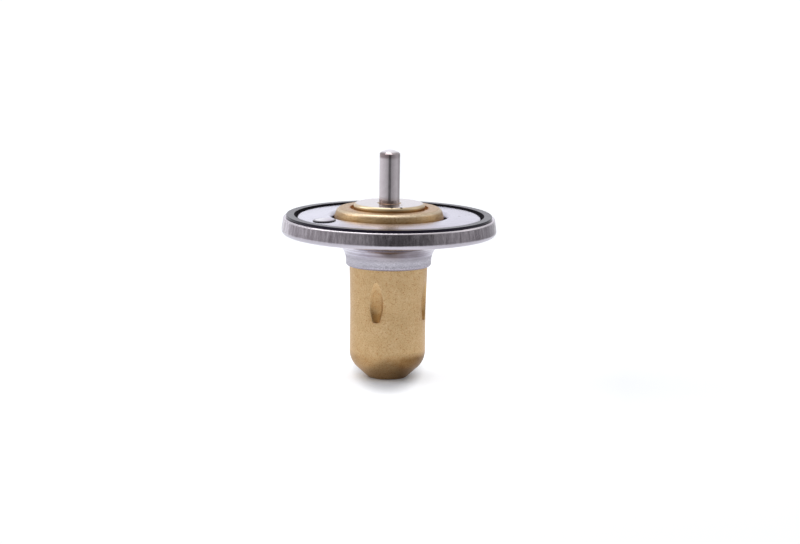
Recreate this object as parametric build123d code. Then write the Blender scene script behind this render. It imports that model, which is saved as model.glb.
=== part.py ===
"""Engine thermostat valve: a pressed steel valve disc with a rubber face seal, a brass wax element
pressed through its middle, a piston pin on top and a small vent valve (jiggle pin) in the disc.

Millimetres, +Z up along the piston pin. The origin is the centre of the wax cup's flat end, on which
the part stands, and -Y is its front. The pin is drawn cold, fully in.
"""
import os
from math import atan2, cos, degrees, radians, sin, sqrt, tan

from build123d import *

# ---- clearances -----------------------------------------------------------------------------
press_gap = 0.02          # between pieces that are pressed or clamped together
seat_gap = 0.02           # under a loose piece that rests on its seat
pin_gap = 0.04            # radial running gap round the piston pin

# ---- wax cup: one deep-drawn brass cup whose wide head is crimped over the pin guide ------------
cup_wall = 0.8
foot_radius = 4.65        # sharp corner of the flat end and the nose cone
foot_round = 0.85
cone_angle = 42.0         # slope of the nose cone
barrel_taper = 0.28       # lower, straight part of the barrel inside the neck's radius
nose_round = 5.5          # nose cone to barrel
barrel_straight = 18.0    # height at which the barrel starts to widen
barrel_blend = 20.0
cup_neck_radius = 9.78    # where the barrel enters the collar
head_step = 3.94          # head's radius beyond the barrel's where it enters the collar
head_round = 1.2          # barrel side corner of the head
crest_height = 1.8        # crimped crest above the edge of the plate's pocket
crimp_height = 2.2        # crest down to the start of the head's sloping side
crimp_lean = 0.65         # how far that side leans in
crimp_blend = 2.0
crest_round = 1.3
lip_width = 3.9           # head's side to the free edge of the crimped lip

# Calibration dimples: prints of a cone-nosed punch that leans out at its top
dimple_count = 4
dimple_azimuth = 252.1    # first dimple, in degrees from +X
dimple_depth = 1.15
punch_height = 14.9       # its tip
punch_tip_radius = 1.25
punch_radius = 2.7
punch_nose = 4.2
punch_length = 12.0
punch_lean = 12.0         # degrees from upright
punch_tip_round = 0.5
punch_nose_round = 12.0

# ---- valve plate: drawn steel sheet with an outer skirt, a pocket for the cup's head and a collar --
sheet = 0.9
exposed_cup = 28.4        # cup's flat end to the collar's lower edge
collar_straight = 1.26    # collar's lower edge to the start of the flare
collar_end_round = 0.7
floor_slope = 25.0
flare_share = 0.717       # share of the pocket floor's length that the flare's bend takes
pocket_gap = 0.75         # round the cup's head
pocket_depth = 5.67
pocket_floor_round = 1.0
pocket_edge_round = 1.2
crown_rise = 0.5          # edge of the pocket above the plate's outer edge
plate_edge_round = 1.1
skirt_height = 3.62

# ---- rim dish: drawn steel dish under the plate -------------------------------------------------
rim_radius = 27.0
groove_width = 2.7        # between rim and skirt at their foot, for the seal
rim_height = 4.2
rim_round = 1.1           # outside of the bend
rim_lean = 0.42           # how far the wall leans in at its edge
rim_edge_round = 0.42

# ---- seal ring: moulded rubber between skirt and rim --------------------------------------------
seal_proud = 0.72         # above the rim's edge
seal_bevel = 0.4          # radial size of the bevel inside
seal_bevel_height = 0.8
seal_lip = 0.2            # how far the ring laps over the rim's edge
seal_edge_round = 0.15
seal_foot_round = 0.8

# ---- pin guide: turned brass plug clamped in the cup's head -------------------------------------
guide_boss_gap = 0.87     # inside the lip's free edge
guide_boss_height = 1.2   # above the crimped crest
guide_boss_round = 0.8
guide_nose_wall = 1.7
guide_nose_length = 4.0
guide_nose_round = 0.4
mouth_chamfer = 0.45

# ---- squeeze boot, backup washer and piston pin -------------------------------------------------
boot_flange = 2.1         # thickness of the clamped flange
boot_edge = 1.6           # what the cup's shoulder leaves of it at its outer edge
boot_neck_wall = 2.0
boot_side_wall = 2.0      # round the pin, at the boot's tip
boot_tip_wall = 2.2
boot_tip_round = 2.0
boot_root_round = 1.0
washer_thickness = 0.8
pin_radius = 2.6
pin_out = 13.5            # tip above the guide's boss, cold
pin_in = 32.2             # pin's lower end below the guide's boss
pin_dome = 0.95
pin_end_chamfer = 0.4

# ---- jiggle pin: loose vent valve through plate and dish ----------------------------------------
vent_azimuth = 211.6      # in degrees from +X
vent_gap = 0.7            # round the stem in the vent hole
jiggle_head_overlap = 1.4 # head beyond the vent hole
jiggle_head_edge = 0.15   # straight part of the head's side
jiggle_head_dome = 0.4
jiggle_stem_radius = 0.8
jiggle_lift = 0.6
lean_allowance = 0.15     # kept at the end of the lift, because the pin leans
weight_overlap = 0.5      # weight beyond the vent hole
weight_height = 0.4
weight_cone = 0.3         # height of the weight's sealing cone
weight_round = 0.25

# ---- heights and radii that follow from them ----------------------------------------------------
barrel_radius = cup_neck_radius - barrel_taper
head_radius = cup_neck_radius + head_step
lip_radius = head_radius - lip_width
cone_top_z = (barrel_radius - foot_radius) * tan(radians(cone_angle))
collar_bore = cup_neck_radius + press_gap
pocket_radius = head_radius + pocket_gap
floor_length = (pocket_radius - collar_bore) / cos(radians(floor_slope))
flare_bend = floor_length * flare_share
flare_radius = flare_bend / tan(radians(45 - floor_slope / 2))
neck_z = exposed_cup + collar_straight + flare_bend
floor_rise = tan(radians(floor_slope))
floor_z = neck_z + (pocket_radius - collar_bore) * floor_rise
rim_bore = rim_radius - sheet
plate_radius = rim_bore - groove_width
pocket_edge_z = floor_z + pocket_depth
plate_edge_z = pocket_edge_z - crown_rise
skirt_foot_z = plate_edge_z - skirt_height
dish_floor_z = skirt_foot_z - press_gap
dish_bottom_z = dish_floor_z - sheet
dish_hole_radius = pocket_radius + sheet + press_gap
rim_top_z = dish_bottom_z + rim_height
crest_z = pocket_edge_z + crest_height
boss_z = crest_z + guide_boss_height
pin_bottom_z = boss_z - pin_in
pin_top_z = boss_z + pin_out
pin_bore = pin_radius + pin_gap
guide_boss_radius = lip_radius - guide_boss_gap
guide_nose_radius = pin_radius + guide_nose_wall
boot_neck_radius = guide_nose_radius + boot_neck_wall
boot_tip_radius = pin_radius + boot_side_wall
vent_radius = pocket_radius / 2 + plate_radius / 2
vent_hole_radius = jiggle_stem_radius + vent_gap
jiggle_head_radius = vent_hole_radius + jiggle_head_overlap
weight_radius = vent_hole_radius + weight_overlap


def offset_line(points, distance):
    """The line through points (radius, height), moved sideways to the right of its own direction."""
    directions = []
    for (r0, z0), (r1, z1) in zip(points, points[1:]):
        length = sqrt((r1 - r0) ** 2 + (z1 - z0) ** 2)
        directions.append(((r1 - r0) / length, (z1 - z0) / length))
    normals = [(dz, -dr) for dr, dz in directions]
    normals = [normals[0]] + normals + [normals[-1]]
    moved = []
    for (r, z), (ar, az), (br, bz) in zip(points, normals, normals[1:]):
        share = distance / (1 + ar * br + az * bz)
        moved.append((r + (ar + br) * share, z + (az + bz) * share))
    return moved


def other_bends(points, bends, thickness):
    """Bend radii on the sheet's right side, from those on its left side."""
    radii = []
    for (r0, z0), (r1, z1), (r2, z2), bend in zip(points, points[1:], points[2:], bends):
        turns_left = (r1 - r0) * (z2 - z1) - (z1 - z0) * (r2 - r1) > 0
        radii.append(bend + thickness if turns_left else bend - thickness)
    return radii


def turned(points, rounds):
    """Solid turned about Z from a closed half section, with one corner radius for each point."""
    outline = FilletPolyline(*points, radius=rounds, close=True)
    return revolve(Plane.XZ * make_face(outline), Axis.Z)


def pressed(points, bends, thickness, end_rounds=(0, 0)):
    """Sheet of even thickness turned about Z: points and bends run along its left side."""
    right = offset_line(points, thickness)
    right_bends = other_bends(points, bends, thickness)
    outline = points + right[::-1]
    rounds = [0] + list(bends) + [0, end_rounds[1]] + right_bends[::-1] + [end_rounds[0]]
    return turned(outline, rounds)


def polar(radius, azimuth):
    """Point in plan at a radius and an angle in degrees from +X."""
    return radius * cos(radians(azimuth)), radius * sin(radians(azimuth))


def domed(radius, bottom_z, top_z, dome, chamfer):
    """Half section of a pin with a chamfered lower end and a domed upper end."""
    ball = (radius ** 2 + dome ** 2) / (2 * dome)
    middle_z = top_z - ball + sqrt(ball ** 2 - radius ** 2 / 4)
    foot = [(0, top_z), (0, bottom_z), (radius - chamfer, bottom_z)]
    side = [(radius, bottom_z + chamfer), (radius, top_z - dome)]
    return make_face([
        *Polyline(*foot, *side).edges(),
        ThreePointArc(side[-1], (radius / 2, middle_z), foot[0]),
    ])


# ---- valve disc ---------------------------------------------------------------------------------
plate_side = [
    (collar_bore, exposed_cup),
    (collar_bore, neck_z),
    (pocket_radius, floor_z),
    (pocket_radius, pocket_edge_z),
    (plate_radius, plate_edge_z),
    (plate_radius, skirt_foot_z),
]
plate_bends = [flare_radius, pocket_floor_round, pocket_edge_round, plate_edge_round]
dish_side = [
    (dish_hole_radius, dish_floor_z),
    (rim_bore, dish_floor_z),
    (rim_bore - rim_lean, rim_top_z),
]

vent_x, vent_y = polar(vent_radius, vent_azimuth)
vent_hole = Pos(vent_x, vent_y, dish_bottom_z) * Cylinder(vent_hole_radius, 4 * rim_height)

valve_plate = pressed(plate_side, plate_bends, sheet, (collar_end_round, 0)) - vent_hole
rim_dish = pressed(dish_side, [rim_round - sheet], sheet, (0, rim_edge_round)) - vent_hole

seal_inner = plate_radius + press_gap
seal_side = offset_line(dish_side, -press_gap)
seal_neck = seal_side[2][0]
seal_outer = seal_neck + seal_lip
seal_top_z = rim_top_z + seal_proud
seal_ring = turned(
    [
        (seal_inner, skirt_foot_z),
        seal_side[1],
        (seal_neck, rim_top_z + press_gap),
        (seal_outer, rim_top_z + press_gap),
        (seal_outer, seal_top_z),
        (seal_inner + seal_bevel, seal_top_z),
        (seal_inner, seal_top_z - seal_bevel_height),
    ],
    [0, seal_foot_round, 0, 0, seal_edge_round, 0, 0],
)

# ---- wax cup ------------------------------------------------------------------------------------
# Its outer side, from the crimped lip down to the middle of the flat end; the shoulder lies on the
# pocket's floor.
shoulder = offset_line(plate_side[:3], -press_gap)[1]
cup_side = [
    (lip_radius, crest_z),
    (head_radius - crimp_lean, crest_z),
    (head_radius, crest_z - crimp_height),
    (head_radius, shoulder[1] + (head_radius - shoulder[0]) * floor_rise),
    shoulder,
    (cup_neck_radius, exposed_cup),
    (barrel_radius, barrel_straight),
    (barrel_radius, cone_top_z),
    (foot_radius, 0),
    (0, 0),
]
cup_bends = [
    crest_round,
    crimp_blend,
    head_round,
    flare_radius + press_gap,
    barrel_blend,
    barrel_blend,
    nose_round,
    foot_round,
]


def punches(growth):
    """Leaning cone-nosed punches round the barrel, this much thicker all round."""
    side = [(0, 0), (punch_tip_radius, 0), (punch_radius, punch_nose), (punch_radius, punch_length)]
    rounds = [punch_tip_round + growth, punch_nose_round + growth]
    punch = turned(offset_line(side, growth) + [(0, punch_length)], [0] + rounds + [0, 0])
    lean = radians(punch_lean)
    distance = barrel_radius - dimple_depth + punch_radius / cos(lean) - punch_nose * sin(lean)
    punch = Pos(distance, 0, punch_height) * Rot(0, punch_lean, 0) * punch
    turns = [dimple_azimuth + 360 / dimple_count * i for i in range(dimple_count)]
    return [Rot(0, 0, turn) * punch for turn in turns]


def cup_space(gap):
    """Room inside the cup up to its lip, a gap off the wall and off the dimples' backs."""
    side = offset_line(cup_side, cup_wall + gap)
    bends = other_bends(cup_side, cup_bends, cup_wall + gap)
    room = turned(side[1:] + [(0, side[0][1])], bends + [0, 0])
    return room - punches(cup_wall + gap)


cup_blank = turned(cup_side[1:] + [(0, crest_z)], cup_bends + [0, 0])
lip_hole = Pos(0, 0, crest_z) * Cylinder(lip_radius, 4 * cup_wall)
wax_cup = cup_blank - cup_space(0) - lip_hole - punches(0)

# ---- pin guide ----------------------------------------------------------------------------------
room_side = offset_line(cup_side, cup_wall + press_gap)
room_bends = other_bends(cup_side, cup_bends, cup_wall + press_gap)
flange_z = room_side[3][1] + boot_edge
nose_z = flange_z - guide_nose_length
pin_guide = turned(
    [
        (pin_bore, nose_z),
        (guide_nose_radius, nose_z),
        (guide_nose_radius, flange_z),
        (room_side[3][0], flange_z),
        room_side[2],
        room_side[1],
        (guide_boss_radius, room_side[0][1]),
        (guide_boss_radius, boss_z),
        (pin_bore + mouth_chamfer, boss_z),
        (pin_bore, boss_z - mouth_chamfer),
    ],
    [0, guide_nose_round, 0, 0, room_bends[1], room_bends[0], 0, guide_boss_round, 0, 0],
)

# ---- squeeze boot, backup washer and wax --------------------------------------------------------
washer_z = nose_z - press_gap - washer_thickness
backup_washer = turned(
    [
        (pin_bore, washer_z),
        (guide_nose_radius, washer_z),
        (guide_nose_radius, nose_z - press_gap),
        (pin_bore, nose_z - press_gap),
    ],
    [0, 0, 0, 0],
)

boot_bore_z = pin_bottom_z - seat_gap
boot_top_z = flange_z - press_gap
boot_side = [
    (head_radius, boot_top_z - boot_flange),
    (boot_neck_radius, boot_top_z - boot_flange),
    (boot_tip_radius, boot_bore_z - boot_tip_wall),
    (0, boot_bore_z - boot_tip_wall),
]
boot_bends = [boot_root_round, boot_tip_round]
boot_blank = turned(
    boot_side
    + [
        (0, boot_bore_z),
        (pin_bore, boot_bore_z),
        (pin_bore, washer_z - press_gap),
        (guide_nose_radius + press_gap, washer_z - press_gap),
        (guide_nose_radius + press_gap, boot_top_z),
        (head_radius, boot_top_z),
    ],
    [0] + boot_bends + [0, 0, 0, 0, 0, 0, 0],
)
squeeze_boot = boot_blank & cup_space(press_gap)

wax_side = offset_line(boot_side, -press_gap)
wax_bends = other_bends(boot_side, boot_bends, -press_gap)
wax_core = turned(wax_side + [(0, crest_z), (head_radius, crest_z)], [0] + wax_bends + [0, 0, 0])
wax_charge = cup_space(press_gap) - wax_core

# ---- piston pin ---------------------------------------------------------------------------------
pin_section = domed(pin_radius, pin_bottom_z, pin_top_z, pin_dome, pin_end_chamfer)
piston_pin = revolve(Plane.XZ * pin_section, Axis.Z)

# ---- jiggle pin and weight: drawn round their own axis, then set square on the sloping plate -----
plate_lean = atan2(crown_rise, plate_radius - pocket_radius)
seat_z = (pocket_edge_z + plate_edge_z) / 2 + seat_gap
seat = Pos(vent_x, vent_y, seat_z) * Rot(0, 0, vent_azimuth) * Rot(0, degrees(plate_lean), 0)
cone_overlap = weight_cone * (vent_hole_radius - jiggle_stem_radius)
cone_overlap = cone_overlap / (weight_radius - jiggle_stem_radius)
cone_top = dish_bottom_z + cone_overlap - jiggle_lift - lean_allowance - seat_z
weight_top = cone_top - weight_cone
weight_bottom = weight_top - weight_height

jiggle_head = domed(
    jiggle_head_radius, 0, jiggle_head_edge + jiggle_head_dome, jiggle_head_dome, 0.05
)
jiggle_stem = Pos(0, 0, weight_bottom / 2) * Cylinder(jiggle_stem_radius, -weight_bottom)
jiggle_pin = seat * (revolve(Plane.XZ * jiggle_head, Axis.Z) + jiggle_stem)
jiggle_weight = seat * turned(
    [
        (jiggle_stem_radius + press_gap, weight_bottom),
        (weight_radius, weight_bottom),
        (weight_radius, weight_top),
        (jiggle_stem_radius + press_gap, cone_top),
    ],
    [0, weight_round, 0, 0],
)

# ---- one file for each piece --------------------------------------------------------------------
pieces = {
    "valve_plate": valve_plate,
    "rim_dish": rim_dish,
    "seal_ring": seal_ring,
    "wax_cup": wax_cup,
    "wax_charge": wax_charge,
    "squeeze_boot": squeeze_boot,
    "backup_washer": backup_washer,
    "pin_guide": pin_guide,
    "piston_pin": piston_pin,
    "jiggle_pin": jiggle_pin,
    "jiggle_weight": jiggle_weight,
}
os.makedirs("parts", exist_ok=True)
for name, piece in pieces.items():
    export_step(piece, f"parts/{name}.step")
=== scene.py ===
"""Looks of an engine thermostat insert: finishes of its pressed, drawn, turned and moulded pieces,
the small marks their making left on them, and a plain white studio round it.

Lengths are written in millimetres, and MM brings them to metres. Heights are above the cup's flat
end, and radii are from its axis.
"""
import math
from collections import namedtuple

import bpy
from mathutils import Matrix, Vector

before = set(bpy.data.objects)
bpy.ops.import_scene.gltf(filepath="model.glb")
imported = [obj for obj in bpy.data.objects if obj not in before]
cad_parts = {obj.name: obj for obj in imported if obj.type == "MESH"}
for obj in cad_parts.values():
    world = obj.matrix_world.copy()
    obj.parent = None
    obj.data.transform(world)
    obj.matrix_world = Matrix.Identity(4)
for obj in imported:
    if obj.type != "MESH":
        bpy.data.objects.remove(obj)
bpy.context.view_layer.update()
MM = 0.001

# ---- places on the pieces -----------------------------------------------------------------------
barrel_radius = 9.5
barrel_straight = 18.0  # height up to which the cup's barrel doesn't widen
neck_radius = 9.78  # of the barrel under the collar
dimple_count = 4
dimple_bearing = 252.1  # of the first dimple, in degrees from +X
vent_x, vent_y = -16.1, -9.9
vent_head_radius = 2.9


def span(node):
    """Heights of a CAD node's foot and top."""
    heights = [corner[2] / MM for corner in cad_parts[node].bound_box]
    return min(heights), max(heights)


cup_foot, cup_top = span("wax_cup")
collar_foot, plate_top = span("valve_plate")
rim_foot, rim_top = span("rim_dish")
guide_top = span("pin_guide")[1]
pin_top = span("piston_pin")[1]

# ---- colours and shader nodes -------------------------------------------------------------------
# Sockets of a Mix node that mixes colours
SHARE, UNDER, LAYER, MIXED = 0, 6, 7, 2
# How a layer lies on a tone: it darkens the tone, or hides it
STAIN, COVER = "MULTIPLY", "MIX"
# Between these lies most of a noise
NOISE_SPAN = {"From Min": 0.3, "From Max": 0.7}

Place = namedtuple("Place", "at x y z radius")


def colour(code):
    """Linear colour of an sRGB hex code."""
    channels = [int(code[i : i + 2], 16) / 255 for i in (0, 2, 4)]
    linear = [c / 12.92 if c <= 0.04045 else ((c + 0.055) / 1.055) ** 2.4 for c in channels]
    return (*linear, 1.0)


def feed(tree, socket, value):
    """Gives a socket another node's output, the colour of a hex code, or a plain value."""
    if isinstance(value, bpy.types.NodeSocket):
        tree.links.new(value, socket)
    else:
        socket.default_value = colour(value) if isinstance(value, str) else value


def add(tree, kind, inputs=(), stops=(), **settings):
    """Outputs of a new shader node. A colour ramp has stops, each its position and hex code."""
    made = tree.nodes.new("ShaderNode" + kind)
    for name, value in settings.items():
        setattr(made, name, value)
    for socket, value in dict(inputs).items():
        feed(tree, made.inputs[socket], value)
    if stops:
        band = made.color_ramp
        while len(band.elements) < len(stops):
            band.elements.new(0.5)
        for element, (position, code) in zip(band.elements, stops):
            element.position = position
            element.color = colour(code)
    return made.outputs


def blank(name):
    """A new material and its node tree."""
    material = bpy.data.materials.new(name)
    material.use_nodes = True
    return material, material.node_tree


def coat(material, **sockets):
    """The material, with its surface's sockets fed."""
    shader = material.node_tree.nodes["Principled BSDF"]
    for name, value in sockets.items():
        feed(material.node_tree, shader.inputs[name.replace("_", " ")], value)
    return material


def place(tree):
    """Where a point lies on its piece: its coordinates and its distance from the axis, in metres."""
    at = add(tree, "TexCoord")["Object"]
    x, y, z = add(tree, "SeparateXYZ", {"Vector": at})
    flat = add(tree, "CombineXYZ", {"X": x, "Y": y})[0]
    return Place(at, x, y, z, add(tree, "VectorMath", {0: flat}, operation="LENGTH")["Value"])


def rings_at(tree, on, drift):
    """Coordinates in which a noise runs round the axis; drift, a share of X, breaks its rings."""
    broken = add(tree, "Math", {0: on.x, 1: drift}, operation="MULTIPLY")[0]
    return add(tree, "CombineXYZ", {"X": on.radius, "Y": broken, "Z": on.z})[0]


def grain(size, detail=3.0, roughness=0.55):
    """Settings of a noise whose features are this many millimetres across."""
    return {"Scale": 1 / (size * MM), "Detail": detail, "Roughness": roughness}


def where(tree, measure, *steps):
    """1 where a length is past every step, and 0 elsewhere. A step is the length at which it starts
    and the one at which it is full."""
    share = 1.0
    for starts, full in steps:
        ends = {"Value": measure, "From Min": starts * MM, "From Max": full * MM}
        step = add(tree, "MapRange", ends)["Result"]
        share = add(tree, "Math", {0: step, 1: share}, operation="MULTIPLY")[0]
    return share


def spots(tree, on, *marks):
    """1 inside small round marks, each its x, y, z and radius, and 0 elsewhere."""
    total = 0.0
    for x, y, z, radius in marks:
        middle = {0: on.at, 1: (x * MM, y * MM, z * MM)}
        far = add(tree, "VectorMath", middle, operation="DISTANCE")["Value"]
        inside = where(tree, far, (radius, 0.6 * radius))
        total = add(tree, "Math", {0: inside, 1: total}, operation="ADD")[0]
    return total


def layered(tree, tone, *layers):
    """A tone with layers on it, each its share, STAIN or COVER, and its colour."""
    for share, how, layer in layers:
        parts = {SHARE: share, UNDER: tone, LAYER: layer}
        tone = add(tree, "Mix", parts, data_type="RGBA", blend_type=how)[MIXED]
    return tone


def relief(tree, *bumps):
    """Normal of a surface with bumps on it, each its height from 0 to 1, its depth and its strength."""
    under = {}
    for height, depth, strength in bumps:
        bump = {"Height": height, "Distance": depth * MM, "Strength": strength, **under}
        under = {"Normal": add(tree, "Bump", bump)["Normal"]}
    return under["Normal"]


# ---- finishes -----------------------------------------------------------------------------------
def drawn_brass():
    """Deep-drawn brass, tumbled after drawing: a warm satin skin, finely pitted, with faint draw lines.
    It has painted shade on the nose, darker on its +X side, painted shade in and round the dimples and
    low on the head's side, and a rubbed crimped crest with a painted highlight band along it."""
    material, tree = blank("drawn_brass")
    on = place(tree)
    # Tumbling leaves pits of about 0.05 mm, drawn 5 to 9 times as coarse to show
    fine = add(tree, "TexNoise", {"Vector": on.at, **grain(0.3, 3.0, 0.75)})["Fac"]
    pits = add(tree, "TexNoise", {"Vector": on.at, **grain(0.45, 4.0, 0.8)})["Fac"]
    grit = add(tree, "TexNoise", {"Vector": on.at, **grain(0.26, 3.0, 0.75)})["Fac"]
    # Mottling is a few millimetres across, as on brass that was washed and dried
    mottle = add(tree, "TexNoise", {"Vector": on.at, **grain(3.2, 5.0, 0.6)})["Fac"]
    # Draw lines run up the wall, about 0.1 mm apart, drawn 3 times as coarse to show
    up = add(tree, "Mapping", {"Vector": on.at, "Scale": (1, 1, 0.06)})[0]
    draw = add(tree, "TexNoise", {"Vector": up, **grain(0.35, 2.0)})["Fac"]
    # Painted shade ends in an uneven line, up to 0.12 mm off its height
    level = add(tree, "Mapping", {"Vector": on.at, "Scale": (1, 1, 2)})[0]
    uneven = add(tree, "TexNoise", {"Vector": level, **grain(2.5, 2.0)})["Fac"]
    off = {"Value": uneven, **NOISE_SPAN, "To Min": -0.12 * MM, "To Max": 0.12 * MM}
    off = add(tree, "MapRange", off)["Result"]
    high = add(tree, "Math", {0: on.z, 1: off}, operation="ADD")[0]

    base = ((0.3, "D1B48B"), (0.5, "DABF97"), (0.7, "E2C9A3"))
    base = add(tree, "ValToRGB", {"Fac": mottle}, base)["Color"]
    speck = ((0.32, "BC9056"), (0.45, "F0E8DA"), (0.58, "F2ECE0"), (0.7, "FFFFFF"))
    speck = add(tree, "ValToRGB", {"Fac": fine}, speck)["Color"]
    flecks = add(tree, "ValToRGB", {"Fac": pits}, ((0.36, "E2A860"), (0.46, "FFFFFF")))["Color"]

    # Painted shade on the nose, where it faces the floor, darker towards its +X side
    nose = where(tree, high, (cup_foot + 7.3, cup_foot + 5.7))
    across = where(tree, on.x, (-barrel_radius, barrel_radius))
    nose_painted_shade = (
        (0.09, "D7D0C5"),
        (0.2, "DFD8CE"),
        (0.38, "E7E2DA"),
        (0.5, "E2DBD1"),
        (0.6, "CFC5B7"),
        (0.7, "B0A28F"),
        (0.8, "A49784"),
    )
    nose_painted_shade = add(tree, "ValToRGB", {"Fac": across}, nose_painted_shade)["Color"]

    # A dimple is where the wall lies inside the barrel's own radius. Painted shade darkens it: browner
    # in its lower half, hardly at all near 18 mm, and greyer above, over its highlight
    widening = {
        "Value": on.z,
        "From Min": barrel_straight * MM,
        "From Max": collar_foot * MM,
        "To Min": barrel_radius * MM,
        "To Max": neck_radius * MM,
    }
    wall = add(tree, "MapRange", widening)["Result"]
    inward = add(tree, "Math", {0: wall, 1: on.radius}, operation="SUBTRACT")[0]
    dimple = {0: where(tree, inward, (0.03, 0.35)), 1: where(tree, on.z, (12.5, 13.5), (26.5, 26.0))}
    dimple = add(tree, "Math", dimple, operation="MULTIPLY")[0]
    dimple_painted_shade = (
        (0.2, "E4CEAC"),
        (0.3, "E6D2B4"),
        (0.38, "FFFAF0"),
        (0.5, "F6ECDF"),
        (0.62, "E3DACE"),
        (0.9, "E9E4DD"),
    )
    dimple_painted_shade = add(tree, "ValToRGB", {"Fac": where(tree, on.z, (14, 24))}, dimple_painted_shade)["Color"]
    # Painted shade darkens the wall in and round each dimple a little
    dimple_shade_spots = []
    for number in range(dimple_count):
        bearing = math.radians(dimple_bearing + 360 / dimple_count * number)
        x, y = barrel_radius * math.cos(bearing), barrel_radius * math.sin(bearing)
        dimple_shade_spots.append((x, y, 17.3, 3.0))
    dimple_shade_share = add(tree, "Math", {0: spots(tree, on, *dimple_shade_spots), 1: 0.3}, operation="MULTIPLY")[0]

    head = where(tree, on.z, (35, 36))
    # Painted shade low on the head's side, down by the plate
    head_side_painted_shade = where(tree, high, (cup_top - 1.4, cup_top - 2.1), (36, 37))
    crest = where(tree, on.z, (cup_top - 1.3, cup_top - 0.7))
    rubbed = ((0.34, "AE8A60"), (0.46, "CAAB84"), (0.62, "D8BF9D"))
    rubbed = add(tree, "ValToRGB", {"Fac": fine}, rubbed)["Color"]
    # A painted highlight band along the crest
    crest_painted_highlight = where(tree, on.z, (cup_top - 0.75, cup_top - 0.5), (cup_top - 0.04, cup_top - 0.15))
    crest_painted_highlight = add(tree, "Math", {0: crest_painted_highlight, 1: 0.5}, operation="MULTIPLY")[0]
    grit = add(tree, "ValToRGB", {"Fac": grit}, ((0.34, "A5886A"), (0.48, "FFFFFF")))["Color"]
    lip = {0: head, 1: where(tree, on.radius, (10.4, 9.9))}
    lip = add(tree, "Math", lip, operation="MULTIPLY")[0]
    tone = layered(
        tree,
        base,
        (0.9, STAIN, speck),
        (0.5, STAIN, flecks),
        (nose, STAIN, nose_painted_shade),
        (dimple, STAIN, dimple_painted_shade),
        (dimple_shade_share, STAIN, "DCCBB0"),
        (head_side_painted_shade, STAIN, "D2C6B6"),
        (crest, COVER, rubbed),
        (crest_painted_highlight, COVER, "F6EAD2"),
        (head, STAIN, grit),
        (lip, STAIN, "F0D2AC"),
    )

    satin = {"Value": mottle, **NOISE_SPAN, "To Min": 0.38, "To Max": 0.46}
    satin = add(tree, "MapRange", satin)["Result"]
    polish = add(tree, "Math", {0: crest, 1: -0.06}, operation="MULTIPLY")[0]
    return coat(
        material,
        Metallic=1.0,
        Base_Color=tone,
        Roughness=add(tree, "Math", {0: satin, 1: polish}, operation="ADD")[0],
        Normal=relief(tree, (fine, 0.02, 1.0), (draw, 0.01, 1.0)),
    )


def turned_brass():
    """Turned brass with a tinned face: golden at its edge and in the groove, with painted shade there a
    little darker towards +X, and silvery on top, with a few dark pits and a painted brown reflection of
    the pin in front of its foot."""
    material, tree = blank("turned_brass")
    on = place(tree)
    # The tool's feed leaves rings about 0.1 mm apart, drawn three times as coarse to show
    rings = add(tree, "TexNoise", {"Vector": rings_at(tree, on, 0.15), **grain(0.3, 2.0)})["Fac"]
    blotch = add(tree, "TexNoise", {"Vector": on.at, **grain(1.8)})["Fac"]
    face = where(tree, on.z, (guide_top - 0.12, guide_top - 0.01))
    groove = where(tree, on.z, (guide_top - 0.5, guide_top - 0.9))
    # The gold carries painted shade, darkest a little to the +X side of the middle
    gold_with_painted_shade = (
        (0.1, "E6D6BC"),
        (0.3, "E2CDA8"),
        (0.45, "E0CCA9"),
        (0.65, "DAC6A4"),
        (0.8, "DCC7A4"),
        (0.95, "DCCBB4"),
    )
    gold_with_painted_shade = add(tree, "ValToRGB", {"Fac": where(tree, on.x, (-11, 11))}, gold_with_painted_shade)["Color"]
    tin = add(tree, "ValToRGB", {"Fac": blotch}, ((0.3, "E2DCDA"), (0.7, "E8E2E2")))["Color"]
    # A painted brown reflection of the pin on the face, in front of its foot
    pin_painted_reflection = spots(tree, on, (0.4, -3.6, guide_top, 3.4))
    pin_painted_reflection = add(tree, "Math", {0: pin_painted_reflection, 1: 0.35}, operation="MULTIPLY")[0]
    pits = spots(tree, on, (3.1, -3.6, 44.2, 0.35), (3.0, -7.9, 44.1, 0.42), (0.6, -8.2, 44.0, 0.5))
    tin = layered(tree, tin, (pin_painted_reflection, STAIN, "D8BC9C"))
    tone = layered(tree, gold_with_painted_shade, (groove, STAIN, "F4DCB8"), (face, COVER, tin), (pits, COVER, "3A2A1C"))
    # The face is cut finer than the edge, so it is glossier
    cut = {"Value": blotch, **NOISE_SPAN, "To Min": 0.2, "To Max": 0.28}
    cut = add(tree, "MapRange", cut)["Result"]
    coarser = add(tree, "MapRange", {"Value": face, "To Min": 0.12, "To Max": 0.0})["Result"]
    return coat(
        material,
        Metallic=1.0,
        Base_Color=tone,
        Roughness=add(tree, "Math", {0: cut, 1: coarser}, operation="ADD")[0],
        Normal=relief(tree, (rings, 0.0006, 1.0)),
    )


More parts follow.
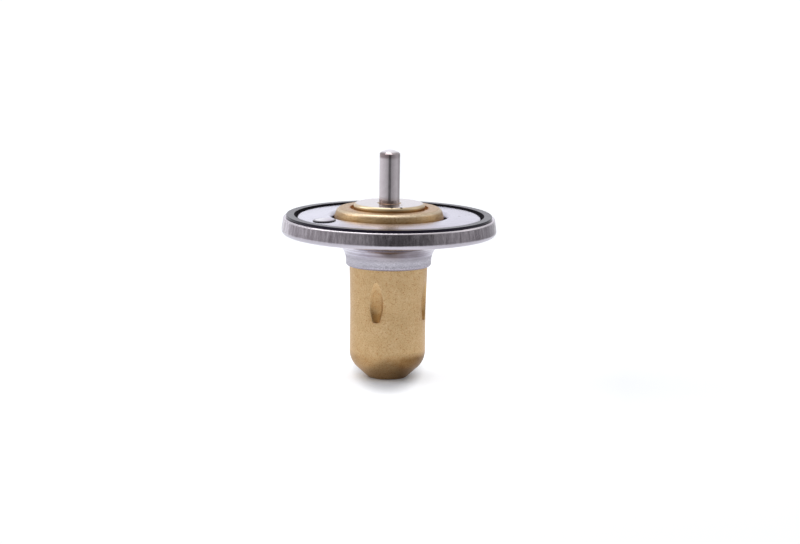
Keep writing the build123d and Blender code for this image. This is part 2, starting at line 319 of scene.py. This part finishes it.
def pressed_steel():
    """Bright steel sheet, pressed: a smooth cool top with faint smears and painted shade at its front
    and on its +X side, painted brown shade on the flare with turning lines round it, and a dull, grainy
    collar with painted shade along its lower edge."""
    material, tree = blank("pressed_steel")
    on = place(tree)
    cloud = add(tree, "TexNoise", {"Vector": on.at, **grain(2.6, 4.0)})["Fac"]
    # The stretched skin has a grain of about 0.05 mm, and turning leaves lines about 0.1 mm apart:
    # both are drawn 2 to 5 times as coarse to show
    fine = add(tree, "TexNoise", {"Vector": on.at, **grain(0.25, 3.0, 0.7)})["Fac"]
    rings = add(tree, "TexNoise", {"Vector": rings_at(tree, on, 0.02), **grain(0.5)})["Fac"]
    lines = add(tree, "TexNoise", {"Vector": rings_at(tree, on, 0.01), **grain(0.22)})["Fac"]
    wiped = add(tree, "Mapping", {"Vector": on.at, "Scale": (0.25, 1, 1)})[0]
    smears = add(tree, "TexNoise", {"Vector": wiped, **grain(0.9, 5.0, 0.7)})["Fac"]

    tone = add(tree, "ValToRGB", {"Fac": cloud}, ((0.3, "E0DFEB"), (0.7, "E9E8F3")))["Color"]
    smears = add(tree, "ValToRGB", {"Fac": smears}, ((0.5, "FFFFFF"), (0.68, "BDB4BE")))["Color"]
    nicks = ((17.6, 0.2, plate_top, 0.42), (20.1, 3.7, plate_top, 0.4), (19.2, 2.0, plate_top, 0.3))
    top = layered(
        tree,
        tone,
        # Painted shade on the top's front and on its +X side
        (where(tree, on.y, (-12, -19)), STAIN, "E0DADD"),
        (where(tree, on.x, (6, 15)), STAIN, "F1EFF1"),
        (0.35, STAIN, smears),
        (spots(tree, on, *nicks), COVER, "4C484E"),
    )

    # Painted shade on the flare, for the barrel and shaded floor it reflects: darkest near the middle
    # in X
    flare_steps = (collar_foot + 1.8, collar_foot + 3.6), (collar_foot + 10.2, collar_foot + 9.2)
    flare = where(tree, on.z, *flare_steps)
    flare_painted_shade = (
        (0.13, "DFDDDF"),
        (0.275, "C8C4C8"),
        (0.42, "B5ADAC"),
        (0.567, "9A908A"),
        (0.64, "968E8E"),
        (0.71, "A59FA0"),
        (0.79, "9E9899"),
        (0.86, "B2ADB0"),
        (0.93, "D4D1D4"),
    )
    flare_painted_shade = add(tree, "ValToRGB", {"Fac": where(tree, on.x, (-12, 12))}, flare_painted_shade)["Color"]
    lines = add(tree, "ValToRGB", {"Fac": lines}, ((0.4, "B4ABAE"), (0.6, "FFFFFF")))["Color"]
    flare_painted_shade = layered(tree, flare_painted_shade, (0.6, STAIN, lines))

    collar = where(tree, on.z, (collar_foot + 3.4, collar_foot + 2.7))
    # Painted shade along the collar's rounded lower edge
    foot = where(tree, on.z, (collar_foot + 0.7, collar_foot + 0.3))
    dull = add(tree, "ValToRGB", {"Fac": fine}, ((0.35, "A5A2AC"), (0.6, "D9D5DE")))["Color"]
    dull = layered(tree, dull, (flare, STAIN, flare_painted_shade), (foot, STAIN, "CBC8D0"))
    tone = layered(tree, top, (flare, STAIN, flare_painted_shade), (collar, COVER, dull))

    smooth = {"Value": cloud, **NOISE_SPAN, "To Min": 0.16, "To Max": 0.24}
    smooth = add(tree, "MapRange", smooth)["Result"]
    duller = add(tree, "MapRange", {"Value": collar, "To Min": 0.2, "To Max": 0.5})["Result"]
    grainy = add(tree, "MapRange", {"Value": collar, "To Min": 0.05, "To Max": 1.0})["Result"]
    return coat(
        material,
        Metallic=1.0,
        Base_Color=tone,
        Roughness=add(tree, "Math", {0: duller, 1: smooth}, operation="MAXIMUM")[0],
        Normal=relief(tree, (fine, 0.02, grainy), (rings, 0.001, 1.0)),
    )


def drawn_steel_rim():
    """Steel rim, ironed by its die: upright score lines, light and dark, round a mirror-like wall, with
    a paler top edge that is a painted highlight, and a paler bend at its foot."""
    material, tree = blank("drawn_steel_rim")
    on = place(tree)
    # Score lines are about 0.3 mm apart, drawn 3 times as coarse to show
    up = add(tree, "Mapping", {"Vector": on.at, "Scale": (1, 1, 0.06)})[0]
    score = add(tree, "TexNoise", {"Vector": up, **grain(0.9, 5.0, 0.7)})["Fac"]
    cloud = add(tree, "TexNoise", {"Vector": on.at, **grain(2.0)})["Fac"]
    scored = ((0.3, "877D85"), (0.5, "B1A9B1"), (0.7, "DBD3DB"))
    scored = add(tree, "ValToRGB", {"Fac": score}, scored)["Color"]
    tone = layered(
        tree,
        scored,
        (where(tree, on.z, (rim_foot + 1.24, rim_foot + 0.84)), COVER, "BDB8C1"),
        # A painted highlight along the top edge
        (where(tree, on.z, (rim_top - 0.48, rim_top - 0.28)), COVER, "E6DFE6"),
    )
    gloss = {"Value": cloud, **NOISE_SPAN, "To Min": 0.18, "To Max": 0.26}
    return coat(
        material,
        Metallic=1.0,
        Base_Color=tone,
        Roughness=add(tree, "MapRange", gloss)["Result"],
        Normal=relief(tree, (score, 0.05, 1.0)),
    )


def moulded_rubber():
    """Moulded black rubber: a sheen of violet grey on the skin, and a matte bore in the seal, painted
    near black as shade.
    """
    material, tree = blank("moulded_rubber")
    on = place(tree)
    # The mould's skin is about 0.05 mm, drawn 6 times as coarse to show
    skin = add(tree, "TexNoise", {"Vector": on.at, **grain(0.3)})["Fac"]
    cloud = add(tree, "TexNoise", {"Vector": on.at, **grain(3.0)})["Fac"]
    tone = add(tree, "ValToRGB", {"Fac": cloud}, ((0.3, "140F1D"), (0.7, "1C1626")))["Color"]
    # Painted shade: the seal's bore is darkened to near black
    bore_painted_shade_and_matte = where(tree, on.radius, (23.95, 23.8))
    sheen = {"Value": cloud, **NOISE_SPAN, "To Min": 0.16, "To Max": 0.24}
    sheen = add(tree, "MapRange", sheen)["Result"]
    matte = add(tree, "Math", {0: bore_painted_shade_and_matte, 1: 0.95}, operation="MULTIPLY")[0]
    return coat(
        material,
        IOR=1.3,
        Specular_Tint="E8DCF6",
        Base_Color=layered(tree, tone, (bore_painted_shade_and_matte, COVER, "08060A")),
        Roughness=add(tree, "Math", {0: sheen, 1: matte}, operation="MAXIMUM")[0],
        Normal=relief(tree, (skin, 0.003, 1.0)),
    )


def ground_pin():
    """Stainless pin, ground between wheels: nearly a mirror, with very fine rings, a painted brown
    reflection where it leaves the guide, a painted dark band of shade under its end and a polished dome
    painted pale as its highlight."""
    material, tree = blank("ground_pin")
    on = place(tree)
    # Grinding rings are about 0.01 mm apart, drawn 8 times as coarse to show
    level = add(tree, "Mapping", {"Vector": on.at, "Scale": (0.1, 0.1, 1)})[0]
    rings = add(tree, "TexNoise", {"Vector": level, **grain(0.08, 2.0)})["Fac"]
    cloud = add(tree, "TexNoise", {"Vector": on.at, **grain(1.2)})["Fac"]
    tone = add(tree, "ValToRGB", {"Fac": cloud}, ((0.3, "C0B6BA"), (0.7, "CAC2C5")))["Color"]
    pin_painted_reflection_and_shade = (
        (0.1, "FFFFFF"),
        (0.135, "CBB8A8"),
        (0.19, "DDD0C6"),
        (0.25, "FFFFFF"),
        (0.842, "FFFFFF"),
        (0.878, "B5ABAA"),
        (0.925, "B5ABAA"),
        (0.95, "FFFFFF"),
    )
    pin_painted_reflection_and_shade = add(tree, "ValToRGB", {"Fac": where(tree, on.z, (42, 58))}, pin_painted_reflection_and_shade)["Color"]
    # Heights from 42 to 58 mm take in the pin's free end; its painted reflection and shade are fainter
    # on the +X side
    side = {"Value": where(tree, on.x, (2.0, -0.5)), "To Min": 0.4, "To Max": 1.0}
    side = add(tree, "MapRange", side)["Result"]
    # The dome is painted pale, as its highlight
    dome = where(tree, on.z, (pin_top - 0.6, pin_top - 0.45))
    gloss = {"Value": cloud, **NOISE_SPAN, "To Min": 0.08, "To Max": 0.13}
    return coat(
        material,
        Metallic=1.0,
        Base_Color=layered(tree, tone, (side, STAIN, pin_painted_reflection_and_shade), (dome, COVER, "F4F0F2")),
        Roughness=add(tree, "MapRange", gloss)["Result"],
        Normal=relief(tree, (rings, 0.002, 1.0)),
    )


def bright_rivet():
    """Bright plated steel of the vent pin: a dome with a painted highlight in its middle and painted
    shade that darkens it to its edge and over its +X side.
    """
    material, tree = blank("bright_rivet")
    on = place(tree)
    # The plating's skin is far finer than 0.15 mm, and is drawn at that to show
    cloud = add(tree, "TexNoise", {"Vector": on.at, **grain(0.6)})["Fac"]
    skin = add(tree, "TexNoise", {"Vector": on.at, **grain(0.15)})["Fac"]
    middle = {0: on.at, 1: (vent_x * MM, vent_y * MM, (plate_top + 0.17) * MM)}
    far = add(tree, "VectorMath", middle, operation="DISTANCE")["Value"]
    # The dome's pale middle is a painted highlight, and painted shade darkens it to its edge
    dome = ((0.74, "F4F3F6"), (0.86, "9A969B"), (0.94, "2E2A2C"))
    dome = add(tree, "ValToRGB", {"Fac": where(tree, far, (0, vent_head_radius))}, dome)["Color"]
    # Painted shade over the dome's +X side
    rivet_painted_side_shade = where(tree, on.x, (vent_x - 1.1, vent_x + 1.5))
    gloss = {"Value": cloud, **NOISE_SPAN, "To Min": 0.12, "To Max": 0.2}
    return coat(
        material,
        Metallic=1.0,
        Base_Color=layered(tree, dome, (rivet_painted_side_shade, STAIN, "D6CFD8")),
        Roughness=add(tree, "MapRange", gloss)["Result"],
        Normal=relief(tree, (skin, 0.002, 1.0)),
    )


def paraffin():
    """Cast paraffin wax: pale honey, faintly cloudy, and light goes a little way into it."""
    material, tree = blank("paraffin")
    on = place(tree)
    # Cast clouds are about 2 mm across, and the skin is drawn at 0.4 mm, as coarse as it needs to show
    cloud = add(tree, "TexNoise", {"Vector": on.at, **grain(2.0)})["Fac"]
    skin = add(tree, "TexNoise", {"Vector": on.at, **grain(0.4)})["Fac"]
    return coat(
        material,
        Base_Color=add(tree, "ValToRGB", {"Fac": cloud}, ((0.3, "CDB98F"), (0.7, "DCCBA6")))["Color"],
        Roughness=0.5,
        Subsurface_Weight=0.1,
        Normal=relief(tree, (skin, 0.01, 1.0)),
    )


def fluoropolymer():
    """Skived fluoropolymer: waxy white, with a fine satin skin."""
    material, tree = blank("fluoropolymer")
    on = place(tree)
    # The blade's marks are about 0.05 mm, drawn 4 times as coarse to show
    cloud = add(tree, "TexNoise", {"Vector": on.at, **grain(1.0)})["Fac"]
    skin = add(tree, "TexNoise", {"Vector": on.at, **grain(0.2)})["Fac"]
    return coat(
        material,
        Base_Color=add(tree, "ValToRGB", {"Fac": cloud}, ((0.3, "E4E4E0"), (0.7, "EFEFEC")))["Color"],
        Roughness=0.4,
        Normal=relief(tree, (skin, 0.004, 1.0)),
    )


brass = drawn_brass()
plug_brass = turned_brass()
steel = pressed_steel()
rim_steel = drawn_steel_rim()
rubber = moulded_rubber()
bright = bright_rivet()
for node, material in {
    "wax_cup": brass,
    "pin_guide": plug_brass,
    "valve_plate": steel,
    "rim_dish": rim_steel,
    "seal_ring": rubber,
    "squeeze_boot": rubber,
    "piston_pin": ground_pin(),
    "jiggle_pin": bright,
    "jiggle_weight": bright,
    "wax_charge": paraffin(),
    "backup_washer": fluoropolymer(),
}.items():
    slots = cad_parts[node].data.materials
    slots.clear()
    slots.append(material)


# ---- studio -------------------------------------------------------------------------------------
floor_size = 12000
tent_radius = 1500
screen_radius = 220
screen_height = 50


def seen_rays(tree):
    """1 for the rays that see a background: camera, glossy and transmission rays."""
    path = add(tree, "LightPath")
    mirrors = {0: path["Is Glossy Ray"], 1: path["Is Transmission Ray"]}
    either = add(tree, "Math", mirrors, operation="MAXIMUM")[0]
    return add(tree, "Math", {0: path["Is Camera Ray"], 1: either}, operation="MAXIMUM")[0]


def white_floor():
    """White paper: it is seen white, with the shadow at the object's foot left on it."""
    material, tree = blank("white_paper")
    tree.nodes.clear()
    on = place(tree)
    # The paper glows, but not in a long oval round the foot, where it keeps the shadow
    off = add(tree, "VectorMath", {0: on.at, 1: (0, 10 * MM, 0)}, operation="SUBTRACT")[0]
    oval = add(tree, "Mapping", {"Vector": off, "Scale": (1, 0.25, 1)})[0]
    far = add(tree, "VectorMath", {0: oval}, operation="LENGTH")["Value"]
    lift = (
        (0.0275, "303030"),
        (0.034, "6F6F6F"),
        (0.047, "C4C4C4"),
        (0.065, "D2D2D2"),
        (0.13, "D0D0D0"),
        (0.16, "C6C6C6"),
        (0.3, "A8A8A8"),
    )
    lift = add(tree, "ValToRGB", {"Fac": where(tree, far, (0, 200))}, lift)["Color"]
    # The paper far behind is lifted a little more, where the lamps reach it less
    behind = add(tree, "Math", {0: where(tree, on.y, (250, 900)), 1: 0.14}, operation="MULTIPLY")[0]
    lift = add(tree, "Math", {0: lift, 1: behind}, operation="ADD")[0]
    paper = add(tree, "BsdfDiffuse", {"Color": "EBEEF3"})[0]
    glow = add(tree, "Emission", {"Color": "FFFFFF", "Strength": lift})[0]
    both = add(tree, "AddShader", {0: paper, 1: glow})[0]
    seen = add(tree, "MixShader", {0: seen_rays(tree), 1: paper, 2: both})[0]
    add(tree, "OutputMaterial", {"Surface": seen})
    return material


bpy.ops.object.select_all(action="DESELECT")
bpy.ops.mesh.primitive_plane_add(size=floor_size * MM, location=(0, 0, 0))
floor = bpy.context.object
floor.name = "floor"
floor.data.materials.append(white_floor())


def studio_world():
    """A white surround, and a softer light from it on the object."""
    world = bpy.data.worlds.new("surround")
    bpy.context.scene.world = world
    world.use_nodes = True
    tree = world.node_tree
    tree.nodes.clear()
    strength = {"Value": seen_rays(tree), "To Min": 0.5, "To Max": 1.0}
    strength = add(tree, "MapRange", strength)["Result"]
    white = add(tree, "Background", {"Color": "FFFFFF", "Strength": strength})[0]
    add(tree, "OutputWorld", {"Surface": white})


studio_world()


def softbox(name, position, width, height, power):
    """An area lamp that faces the middle of the object; its power is in watts."""
    data = bpy.data.lights.new(name, "AREA")
    data.shape = "RECTANGLE"
    data.size = width * MM
    data.size_y = height * MM
    data.energy = power
    lamp = bpy.data.objects.new(name, data)
    bpy.context.scene.collection.objects.link(lamp)
    lamp.location = Vector(position) * MM
    middle = Vector((0, 0, 30)) * MM
    lamp.rotation_euler = (middle - lamp.location).to_track_quat("-Z", "Y").to_euler()


softbox("left_box", (-700, 100, 550), 500, 600, 1.5)
softbox("right_box", (800, 200, 500), 500, 600, 0.5)
softbox("top_box", (-150, 150, 900), 500, 500, 1.5)


def mirror_only(piece):
    """Keeps a piece of the studio for the metal's reflections alone."""
    piece.visible_camera = False
    piece.visible_diffuse = False
    piece.visible_shadow = False


def bearing_at(tree, on):
    """0 to 1 round the axis: 0.5 is the camera's side, and more is further to its right."""
    front = add(tree, "Math", {0: on.y, 1: -1.0}, operation="MULTIPLY")[0]
    side = add(tree, "Math", {0: on.x, 1: front}, operation="ARCTAN2")[0]
    turned = {"Value": side, "From Min": -math.pi, "From Max": math.pi}
    return add(tree, "MapRange", turned)["Result"]


def tent():
    """The tent's wall: white behind the object, dim round the camera, brighter overhead."""
    bpy.ops.object.select_all(action="DESELECT")
    bpy.ops.mesh.primitive_uv_sphere_add(segments=64, ring_count=32, radius=tent_radius * MM)
    wall = bpy.context.object
    wall.name = "tent"
    material, tree = blank("tent_cloth")
    tree.nodes.clear()
    on = place(tree)
    cloth = (
        (0.0, "F7F7FF"),
        (0.18, "C8C8C8"),
        (0.31, "BEBEBE"),
        (0.386, "A5A5A5"),
        (0.44, "909090"),
        (0.478, "5A5A5A"),
        (0.544, "505050"),
        (0.606, "484848"),
        (0.644, "959595"),
        (0.725, "ADADAD"),
        (0.88, "B4B4B4"),
        (1.0, "F7F7FF"),
    )
    cloth = add(tree, "ValToRGB", {"Fac": bearing_at(tree, on)}, cloth)["Color"]
    above = ((0.1, "000000"), (0.35, "797979"), (0.75, "898989"), (0.95, "FFFFFF"))
    above = add(tree, "ValToRGB", {"Fac": where(tree, on.z, (0, tent_radius))}, above)["Color"]
    glow = add(tree, "Emission", {"Color": layered(tree, cloth, (above, COVER, "FFFFFF"))})[0]
    add(tree, "OutputMaterial", {"Surface": glow})
    wall.data.materials.append(material)
    mirror_only(wall)


def low_screen():
    """A low gauze screen round the front: it gives a polished pin its dark middle line."""
    bpy.ops.object.select_all(action="DESELECT")
    bpy.ops.mesh.primitive_cylinder_add(
        vertices=96,
        radius=screen_radius * MM,
        depth=screen_height * MM,
        end_fill_type="NOTHING",
    )
    screen = bpy.context.object
    screen.name = "low_screen"
    screen.data.transform(Matrix.Translation((0, 0, screen_height / 2 * MM)))
    material, tree = blank("gauze")
    tree.nodes.clear()
    gauze = (
        (0.08, "FFFFFF"),
        (0.233, "F1F1F1"),
        (0.35, "E1E1E1"),
        (0.417, "CECECE"),
        (0.458, "BCBCBC"),
        (0.474, "727272"),
        (0.535, "727272"),
        (0.55, "B1B1B1"),
        (0.603, "BFBFBF"),
        (0.672, "D3D3D3"),
        (0.75, "DDDDDD"),
        (0.83, "BCBCBC"),
        (0.89, "BCBCBC"),
        (0.96, "FFFFFF"),
    )
    gauze = add(tree, "ValToRGB", {"Fac": bearing_at(tree, place(tree))}, gauze)["Color"]
    add(tree, "OutputMaterial", {"Surface": add(tree, "BsdfTransparent", {"Color": gauze})[0]})
    screen.data.materials.append(material)
    mirror_only(screen)


tent()
low_screen()

# ---- camera -------------------------------------------------------------------------------------
elevation = math.radians(9.0)
roll = math.radians(0.78)
distance = 1700
view_width = 200.96  # what the render's width takes in at the axis
aim = Vector((2.92, 0, 26.68))
lens = bpy.data.cameras.new("camera")
lens.sensor_width = 36.0
lens.lens = lens.sensor_width * distance / view_width
lens.clip_start = 50 * MM
camera = bpy.data.objects.new("camera", lens)
bpy.context.scene.collection.objects.link(camera)
back = Vector((0, -math.cos(elevation), math.sin(elevation)))
turn = Matrix.Rotation(math.pi / 2 - elevation, 4, "X") @ Matrix.Rotation(roll, 4, "Z")
camera.matrix_world = Matrix.Translation((aim + back * distance) * MM) @ turn
bpy.context.scene.camera = camera
bpy.context.scene.view_settings.view_transform = "Standard"
